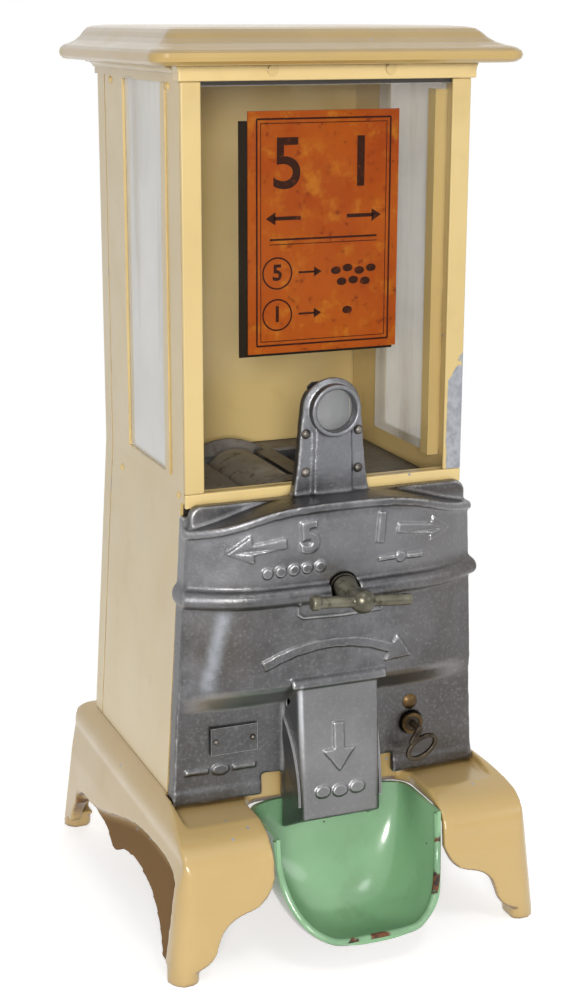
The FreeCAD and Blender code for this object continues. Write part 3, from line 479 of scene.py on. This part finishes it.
def darkSheet(name, dark, light, rust, metal=0.35, shine=0.2):
    look = Look(name)
    cloud = look.noise(48, 5, 0.65)
    color = look.clouded(cloud, dark, light)
    stain = look.ramp(look.noise(130, 6, 0.7), 0.53, 0.68, 0, 0.85)
    color = look.tint(color, stain, rust)
    # painted shade in recesses
    color = look.tint(color, look.shelter(0.01), "241d15")
    height = look.plus(look.noise(350, 4), stain)
    return look.dress(color=color, metal=metal, rough=look.ramp(cloud, 0.3, 0.7, 0.5, 0.75), specular=shine,
                      normal=look.bump(height, 0.0002, 0.5))


looks = {
    "cream": creamPaint("creamPaint", "dcc385", "d5ba7c", dots=0.10),
    "creamBase": creamPaint("creamBase", "c9ac71", "c1a366", dots=0.34, baseShade=0.35),
    "creamLid": creamPaint("creamLid", "cbac68", "c1a15d", dots=0.12, dustShade=0.55),
    # a lighter copy of the cream: painted light on the frieze and sill
    "creamRailLit": creamPaint("creamRailLit", "e8cf90", "e1c687", dots=0.10),
    "creamPost": creamPaint("creamPost", "dcc385", "d5ba7c", dots=0.10, bare=True),
    "cast": castMetal("castMetal", worn=True),
    "castPlain": castMetal("castPlain", worn=False),
    "bronze": wornMetal("bronzeMetal", "565348", "848070", "403b2f", rough=0.38),
    "brass": wornMetal("brassMetal", "4a3a26", "745c39", "33261a", rough=0.42),
    "key": wornMetal("keyMetal", "37312a", "625749", "2a231b", rough=0.42),
    "steel": wornMetal("steelMetal", "77777a", "a3a3a6", "5b5046", rough=0.36),
    "iron": wornMetal("gearIron", "3d3b3a", "62605e", "54402e", rough=0.5),
    "rivet": wornMetal("rivetMetal", "4c4844", "86807a", "3a2a1e", rough=0.42),
    "enamel": greenEnamel(),
    "rim": rimEnamel(),
    "glass": paneGlass("frontGlass", "e8ebe9", "cbbfa6", clear=0.0, dull=0.004, streak=0.004, coat=0.2,
                       shadowFrom=0.4245),
    "sideGlass": paneGlass("sideGlass", "f6f5f0", "b3a688", clear=0.78, dull=0.90, streak=0.06),
    "hazyGlass": paneGlass("hazyGlass", "f6f5f0", "a89b7c", clear=0.56, dull=0.70, streak=0.08),
    "lens": paneGlass("lensGlass", "d4d6d8", "b9bcbe", clear=0.15, dull=0.30, streak=0.2),
    "card": cardPrint(),
    "ink": inkPrint(),
    "backing": darkSheet("cardBacking", "3b2819", "4a3421", "22160d", metal=0.0, shine=0.03),
    "sheet": darkSheet("hopperSheet", "6b6660", "89847c", "5c4a38"),
    "drum": darkSheet("drumMetal", "7c776d", "a09a8e", "5e5040"),
}
print("materials made", len(looks))

nodeLooks = {
    "creamBase": ["base"],
    "creamPost": ["front_post_right"],
    "creamRailLit": ["frieze", "front_sill"],
    "creamLid": ["lid"],
    "cast": ["front_casting"],
    "castPlain": ["coin_window_ring", "chute_cheeks", "small_plate"],
    "bronze": ["t_handle", "handle_bar", "shaft_bush"],
    "brass": ["lock_body", "lock_screw"],
    "key": ["key", "lock_plug"],
    "rivet": ["tongue_screws", "plate_pins"],
    "steel": ["coin_window_plate", "handle_shaft", "coin_wheel", "shaft_collar", "lock_cam",
              "large_drum_spindle", "small_drum_spindle", "front_bearing_plate", "rear_bearing_plate",
              "delivery_chute", "coin_chute", "cash_box", "base_fasteners", "cup_bracket"],
    "iron": ["drive_pinion", "large_drum_gear", "small_drum_gear"],
    "enamel": ["cup"],
    "glass": ["front_glass"],
    "sideGlass": ["side_glass_left"],
    "hazyGlass": ["side_glass_right"],
    "lens": ["coin_window_glass"],
    "card": ["display_card"],
    "backing": ["card_backing"],
    "sheet": ["hopper_floor", "gear_guard", "case_floor", "front_panel"],
    "drum": ["large_drum", "small_drum"],
}
dressed = {node: look for look, group in nodeLooks.items() for node in group}
for node, piece in nodes.items():
    for slot in piece.material_slots:
        slot.material = looks[dressed.get(node, "cream")]  # the rest of the case is cream


# Pieces

def makePiece(name, mesh, body, look, smooth=True):
    piece = bpy.data.objects.new(name, mesh)
    scene.collection.objects.link(piece)
    mesh.materials.clear()
    mesh.materials.append(looks[look])
    if smooth:
        mesh.shade_smooth()
    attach(piece, body)
    return piece


def weldedCopy(*names):
    shape = bmesh.new()
    for name in names:
        shape.from_mesh(nodes[name].data)
    bmesh.ops.remove_doubles(shape, verts=shape.verts, dist=2e-6)
    return shape


def meshOf(shape, name):
    mesh = bpy.data.meshes.new(name)
    shape.to_mesh(mesh)
    shape.free()
    return mesh


def baked(data, steps=()):  # the mesh of a curve, or of a mesh with modifiers
    holder = bpy.data.objects.new("holder", data)
    scene.collection.objects.link(holder)
    for kind, settings in steps:
        modifier = holder.modifiers.new(kind, kind)
        for key, value in settings.items():
            setattr(modifier, key, value)
    mesh = bpy.data.meshes.new_from_object(holder.evaluated_get(bpy.context.evaluated_depsgraph_get()))
    bpy.data.objects.remove(holder)
    return mesh


def softened(mesh, voxel, passes, keep):
    steps = [("REMESH", {"mode": "VOXEL", "voxel_size": voxel}),
             ("SMOOTH", {"factor": 0.5, "iterations": passes})]
    if keep < 1:
        steps.append(("DECIMATE", {"ratio": keep}))
    return baked(mesh, steps)


def addTube(shape, points, radius, sides=10):
    rings = []
    for i, point in enumerate(points):
        ahead = points[min(i + 1, len(points) - 1)] - points[max(i - 1, 0)]
        turn = ahead.to_track_quat("Z", "X").to_matrix()
        ring = []
        for k in range(sides):
            angle = 2 * math.pi * k / sides
            offset = turn @ Vector((radius * math.cos(angle), radius * math.sin(angle), 0))
            ring.append(shape.verts.new(point + offset))
        rings.append(ring)
    for a, b in zip(rings, rings[1:]):
        for k in range(sides):
            shape.faces.new((a[k], a[(k + 1) % sides], b[(k + 1) % sides], b[k]))
    shape.faces.new(list(reversed(rings[0])))
    shape.faces.new(rings[-1])


def textMesh(body, size, depth, edge, heavier):
    curve = bpy.data.curves.new("numeral", "FONT")
    curve.body = body
    curve.size = size
    curve.extrude = depth
    curve.bevel_depth = edge
    curve.offset = heavier
    curve.align_x = "CENTER"
    curve.align_y = "CENTER"
    return baked(curve)


def signMesh(outline, depth, edge):
    curve = bpy.data.curves.new("sign", "CURVE")
    curve.dimensions = "2D"
    curve.fill_mode = "BOTH"
    curve.extrude = depth
    curve.bevel_depth = edge
    spline = curve.splines.new("POLY")
    spline.points.add(len(outline) - 1)
    for point, place in zip(spline.points, outline):
        point.co = (place[0], place[1], 0, 1)
    spline.use_cyclic_u = True
    return baked(curve)


def arrowOutline(path, shaft, headLong, headWide):
    path = [Vector(point) for point in path]
    back = (path[-2] - path[-1]).normalized()
    neck = path[-1] + back * headLong
    across = Vector((back.y, -back.x))
    stem = path[:-1] + [neck]
    left, right = [], []
    for i, point in enumerate(stem):
        along = (stem[min(i + 1, len(stem) - 1)] - stem[max(i - 1, 0)]).normalized()
        out = Vector((-along.y, along.x)) * shaft / 2
        left.append(point + out)
        right.append(point - out)
    head = [neck + across * headWide / 2, path[-1], neck - across * headWide / 2]
    return left + head + right[::-1]


def ovalOutline(x, z, wide, tall, count=20):
    turns = [2 * math.pi * k / count for k in range(count)]
    return [(x + wide / 2 * math.cos(t), z + tall / 2 * math.sin(t)) for t in turns]


def boxOutline(x0, x1, z0, z1):
    return [(x0, z0), (x1, z0), (x1, z1), (x0, z1)]


def barOutline(x0, x1, z, width):
    return boxOutline(x0, x1, z - width / 2, z + width / 2)


# Cast front with raised numerals, arrows and a rib under the handle

castFront = {
    "body": {"voxel": 0.0007, "passes": 9, "keep": 1},
    "signs": {"voxel": 0.0006, "passes": 3, "keep": 0.45},
    "depth": 0.0008, "edge": 0.0004, "heavier": 0.0005,
    "returns": ((0.0768, 0.2015), (0.0757, 0.2220)), "returnWall": 0.004, "returnDeep": (-0.0440, -0.0376),
    "numerals": (("5", -0.0185, 0.2118, 5, 0.0205), ("1", 0.0195, 0.2128, -4, 0.0205)),
    "arrows": (  # tail to tip, shaft, head
        (((-0.0310, 0.2105), (-0.0590, 0.2068)), 0.0040, 0.0110, 0.0125),
        (((0.0290, 0.2120), (0.0590, 0.2080)), 0.0040, 0.0110, 0.0125),
        (((-0.0010, 0.1125), (-0.0010, 0.0880)), 0.0046, 0.0105, 0.0160),
        (((-0.0400, 0.1465), (-0.0320, 0.1502), (-0.0230, 0.1532), (-0.0130, 0.1551), (-0.0030, 0.1556),
          (0.0070, 0.1547), (0.0170, 0.1524), (0.0260, 0.1490), (0.0395, 0.1428)), 0.0042, 0.0120, 0.0135),
    ),
    "ovals": tuple((-0.0400 + 0.0068 * i, 0.1957 + 0.0003 * i, 0.0046, 0.0046) for i in range(5))
    + ((0.0310, 0.1970, 0.0046, 0.0046), (-0.0105, 0.0775, 0.0072, 0.0054), (-0.0010, 0.0770, 0.0072, 0.0054),
       (0.0085, 0.0775, 0.0072, 0.0054), (-0.0590, 0.0905, 0.0080, 0.0048)),
    "bars": ((-0.0770, -0.0660, 0.0905, 0.0014), (-0.0520, -0.0410, 0.0905, 0.0014),
             (0.0190, 0.0270, 0.1972, 0.0014), (0.0350, 0.0430, 0.1966, 0.0014)),
    "rib": ((-0.0240, 0.1795), (-0.0238, 0.1730), (-0.0210, 0.1708), (0.0, 0.1700), (0.0210, 0.1706),
            (0.0240, 0.1735), (0.0242, 0.1790)),
    "ribRadius": 0.0008, "ribLift": 0.0002, "ribSteps": 8,
}


def makeCastFront():
    body = weldedCopy("front_casting")
    for side in (-1, 1):  # side returns behind the lip's ends
        corners = [(side * (half - wall), y, z) for half, z in castFront["returns"]
                   for wall in (0, castFront["returnWall"]) for y in castFront["returnDeep"]]
        bmesh.ops.convex_hull(body, input=[body.verts.new(corner) for corner in corners])
    shape = bmesh.new()
    shape.from_mesh(softened(meshOf(body, "castBody"), **castFront["body"]))
    tree = BVHTree.FromBMesh(shape)

    def onFace(x, z, lift=0.0):
        hit = tree.ray_cast(Vector((x, -0.3, z)), Vector((0, 1, 0)))[0]  # from well in front
        return Vector((x, hit.y - lift, z))

    def emboss(mesh, x=0.0, z=0.0, turn=0.0):
        spin = Matrix.Rotation(math.radians(turn), 2)
        for vertex in mesh.vertices:
            flat = spin @ Vector((vertex.co.x, vertex.co.y))
            vertex.co = onFace(x + flat.x, z + flat.y, vertex.co.z)
        shape.from_mesh(mesh)

    depth, edge = castFront["depth"], castFront["edge"]
    for numeral, x, z, turn, size in castFront["numerals"]:
        emboss(textMesh(numeral, size, depth, edge, castFront["heavier"]), x, z, turn)
    outlines = [arrowOutline(*arrow) for arrow in castFront["arrows"]]
    outlines += [ovalOutline(*oval) for oval in castFront["ovals"]]
    outlines += [barOutline(*bar) for bar in castFront["bars"]]
    for outline in outlines:
        emboss(signMesh(outline, depth, edge))
    points, steps = [], castFront["ribSteps"]
    for (x0, z0), (x1, z1) in zip(castFront["rib"], castFront["rib"][1:]):
        points += [onFace(x0 + (x1 - x0) * i / steps, z0 + (z1 - z0) * i / steps, castFront["ribLift"])
                   for i in range(steps)]
    addTube(shape, points, castFront["ribRadius"])
    mesh = softened(meshOf(shape, "castFront"), **castFront["signs"])
    piece = makePiece("castFront", mesh, "machine", "cast")
    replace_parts(piece, "front_casting")


makeCastFront()
print("cast front made")

# Painted base with softened edges

paintedBase = {"voxel": 0.0009, "passes": 8, "keep": 0.5}
baseMesh = softened(meshOf(weldedCopy("base"), "paintedBase"), **paintedBase)
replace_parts(makePiece("paintedBase", baseMesh, "machine", "creamBase"), "base")
print("base made")

# Handle and key, softened like old castings

softParts = {
    "tHandle": {"nodes": ("t_handle", "handle_bar"), "body": "handle_set", "look": "bronze", "slot": "bronze",
                "finish": {"voxel": 0.00035, "passes": 5, "keep": 0.5}},
    "keySoft": {"nodes": ("key",), "body": "lock_set", "look": "key", "slot": "bronze",
                "finish": {"voxel": 0.0003, "passes": 5, "keep": 0.5}},
}
for name, part in softParts.items():
    mesh = softened(meshOf(weldedCopy(*part["nodes"]), name), **part["finish"])
    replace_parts(makePiece(name, mesh, part["body"], part["look"]), *part["nodes"])
print("handle and key made")

# Cup's rolled rim

cupRim = {
    "bead": 0.0019, "half": 0.0439, "top": 0.067, "power": 2.6,  # the bowl's section at each depth
    "floor": 0.0065, "floorRise": 0.0097, "floorFrom": -0.105, "floorRun": 0.0302,
    "sag": 0.0006, "lip": (0.6, 0.2, -0.2, -0.6),  # across the front
    "curve": ((-0.1088, 0.0655), (-0.1095, 0.0600), (-0.1104, 0.0550), (-0.1125, 0.0450), (-0.1178, 0.0350),
              (-0.1235, 0.0280), (-0.1280, 0.0222), (-0.1315, 0.0190), (-0.1330, 0.0177)),
}


def makeCupRim():
    side, power = [], cupRim["power"]
    for y, z in cupRim["curve"]:
        floor = cupRim["floor"] + cupRim["floorRise"] * ((cupRim["floorFrom"] - y) / cupRim["floorRun"]) ** 2
        depth = min(1, (cupRim["top"] - z) / (cupRim["top"] - floor))
        side.append(Vector((cupRim["half"] * (1 - depth ** power) ** (1 / power), y + caseY, z)))
    end = side[-1]
    across = [Vector((end.x * s, end.y, end.z - cupRim["sag"] * (1 - s * s))) for s in cupRim["lip"]]
    points = side + across + [Vector((-p.x, p.y, p.z)) for p in reversed(side)]
    curve = bpy.data.curves.new("cupRim", "CURVE")
    curve.dimensions = "3D"
    spline = curve.splines.new("NURBS")
    spline.points.add(len(points) - 1)
    for point, place in zip(spline.points, points):
        point.co = (*place, 1)
    spline.order_u = 4
    spline.use_endpoint_u = True
    spline.resolution_u = 6
    curve.bevel_depth = cupRim["bead"]
    curve.bevel_resolution = 4
    curve.use_fill_caps = True
    makePiece("cupRim", baked(curve), "machine", "rim")


makeCupRim()
print("cup rim made")

# Posts, sill and frieze with eased edges

easedEdge = {"width": 0.0007, "segments": 3}
easedParts = {"postLeft": ("front_post_left", "cream"), "postRight": ("front_post_right", "creamPost"),
              "sill": ("front_sill", "creamRailLit"), "friezeRail": ("frieze", "creamRailLit")}
for name, (node, look) in easedParts.items():
    shape = weldedCopy(node)
    bmesh.ops.dissolve_limit(shape, angle_limit=0.01, verts=shape.verts, edges=shape.edges)
    mesh = baked(meshOf(shape, name), [("BEVEL", easedEdge)])
    piece = makePiece(name, mesh, "machine", look, smooth=False)
    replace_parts(piece, node)
print("posts, sill and frieze made")

# Card print: border, numerals, arrows, and coins that buy ovals

cardMarks = {
    "front": caseY - 0.0619 - 0.00004, "low": 0.2985, "middle": -0.001,  # just off the card
    "numerals": (("5", -0.019, 0.089, 0.034), ("1", 0.019, 0.089, 0.034), ("5", -0.024, 0.0385, 0.0105),
                 ("1", -0.024, 0.0185, 0.0105)), "heavier": 0.0003,
    "frames": ((0.0345, 0.0535, 0.0573, 0.0009), (0.0325, 0.0515, 0.0573, 0.0004)),
    "bars": ((-0.028, 0.028, 0.0545, 0.0010), (-0.028, 0.028, 0.0522, 0.0004),
             (-0.013, -0.004, 0.0385, 0.0010), (-0.013, -0.004, 0.0185, 0.0010),
             (-0.026, -0.012, 0.0645, 0.0018), (0.012, 0.026, 0.0645, 0.0018)),
    "heads": ((-0.030, 0.0645, -0.005), (0.030, 0.0645, 0.005), (-0.001, 0.0385, 0.004),
              (-0.001, 0.0185, 0.004)), "headSpread": 0.62,
    "rings": ((-0.024, 0.0385, 0.0078), (-0.024, 0.0185, 0.0078)), "ringLine": 0.0008,
    "ovals": tuple((0.0065 + 0.0062 * i, z) for i, z in (
        (0, 0.0385), (1, 0.0395), (2, 0.0380), (3, 0.0390), (0.5, 0.0330), (1.5, 0.0335), (2.5, 0.0328),
        (1, 0.0190))), "ovalSize": (0.0052, 0.003744), "rounds": 40,
}


def makeCardMarks():
    shape = bmesh.new()
    spot = Vector((cardMarks["middle"], cardMarks["front"], cardMarks["low"]))

    def flat(points):
        shape.faces.new([shape.verts.new(spot + Vector((x, 0, z))) for x, z in points])

    def ring(x, z, outer, inner):
        turns = [2 * math.pi * k / cardMarks["rounds"] for k in range(cardMarks["rounds"] + 1)]
        for a, b in zip(turns, turns[1:]):
            flat([(x + r * math.cos(t), z + r * math.sin(t))
                  for r, t in ((inner, a), (outer, a), (outer, b), (inner, b))])

    for half, tall, centre, width in cardMarks["frames"]:
        for end in (-1, 1):
            flat(barOutline(-half, half, centre + end * tall, width))
            flat(boxOutline(end * half - width / 2, end * half + width / 2, centre - tall, centre + tall))
    for bar in cardMarks["bars"]:
        flat(barOutline(*bar))
    for x, z, length in cardMarks["heads"]:
        spread = length * cardMarks["headSpread"]
        flat([(x, z), (x - length, z + spread), (x - length, z - spread)])
    for x, z, radius in cardMarks["rings"]:
        ring(x, z, radius, radius - cardMarks["ringLine"])
    for x, z in cardMarks["ovals"]:
        flat(ovalOutline(x, z, *cardMarks["ovalSize"], cardMarks["rounds"]))
    for numeral, x, z, size in cardMarks["numerals"]:
        mesh = textMesh(numeral, size, 0, 0, cardMarks["heavier"])
        for vertex in mesh.vertices:
            vertex.co = spot + Vector((x + vertex.co.x, 0, z + vertex.co.y))
        shape.from_mesh(mesh)
    makePiece("cardMarks", meshOf(shape, "cardMarks"), "machine", "ink", smooth=False)


makeCardMarks()
print("card print made")

# Floor

floorSheet = {"radius": 4.0, "sides": 64, "fade": (0.22, 0.6), "shade": (0.93, 0.93, 0.93, 1), "rough": 0.9,
              "nearGlow": 0.5}


def makeFloor():
    look = Look("floor")
    distance = look.add("ShaderNodeVectorMath", operation="LENGTH")
    look.feed(distance.inputs[0], look.place)
    far = look.ramp(distance.outputs["Value"], *floorSheet["fade"])
    glow = look.add("ShaderNodeEmission")
    look.feed(glow.inputs["Strength"], paperGlow(look.tree, **paper))
    nearGlow = paperGlow(look.tree, 0.0, floorSheet["nearGlow"])
    look.feed(look.shader.inputs["Emission Strength"], nearGlow)
    look.shader.inputs["Emission Color"].default_value = (1, 1, 1, 1)
    look.dress(color=floorSheet["shade"], rough=floorSheet["rough"], specular=0.0)
    blend = look.add("ShaderNodeMixShader")
    look.feed(blend.inputs[0], far)
    look.feed(blend.inputs[1], look.shader.outputs[0])
    look.feed(blend.inputs[2], glow.outputs[0])
    look.feed(look.tree.nodes["Material Output"].inputs["Surface"], blend.outputs[0])
    shape = bmesh.new()
    bmesh.ops.create_circle(shape, cap_ends=True, segments=floorSheet["sides"], radius=floorSheet["radius"])
    mesh = meshOf(shape, "floor")
    mesh.materials.append(look.material)
    floor = bpy.data.objects.new("floor", mesh)
    scene.collection.objects.link(floor)


makeFloor()
print("floor made")
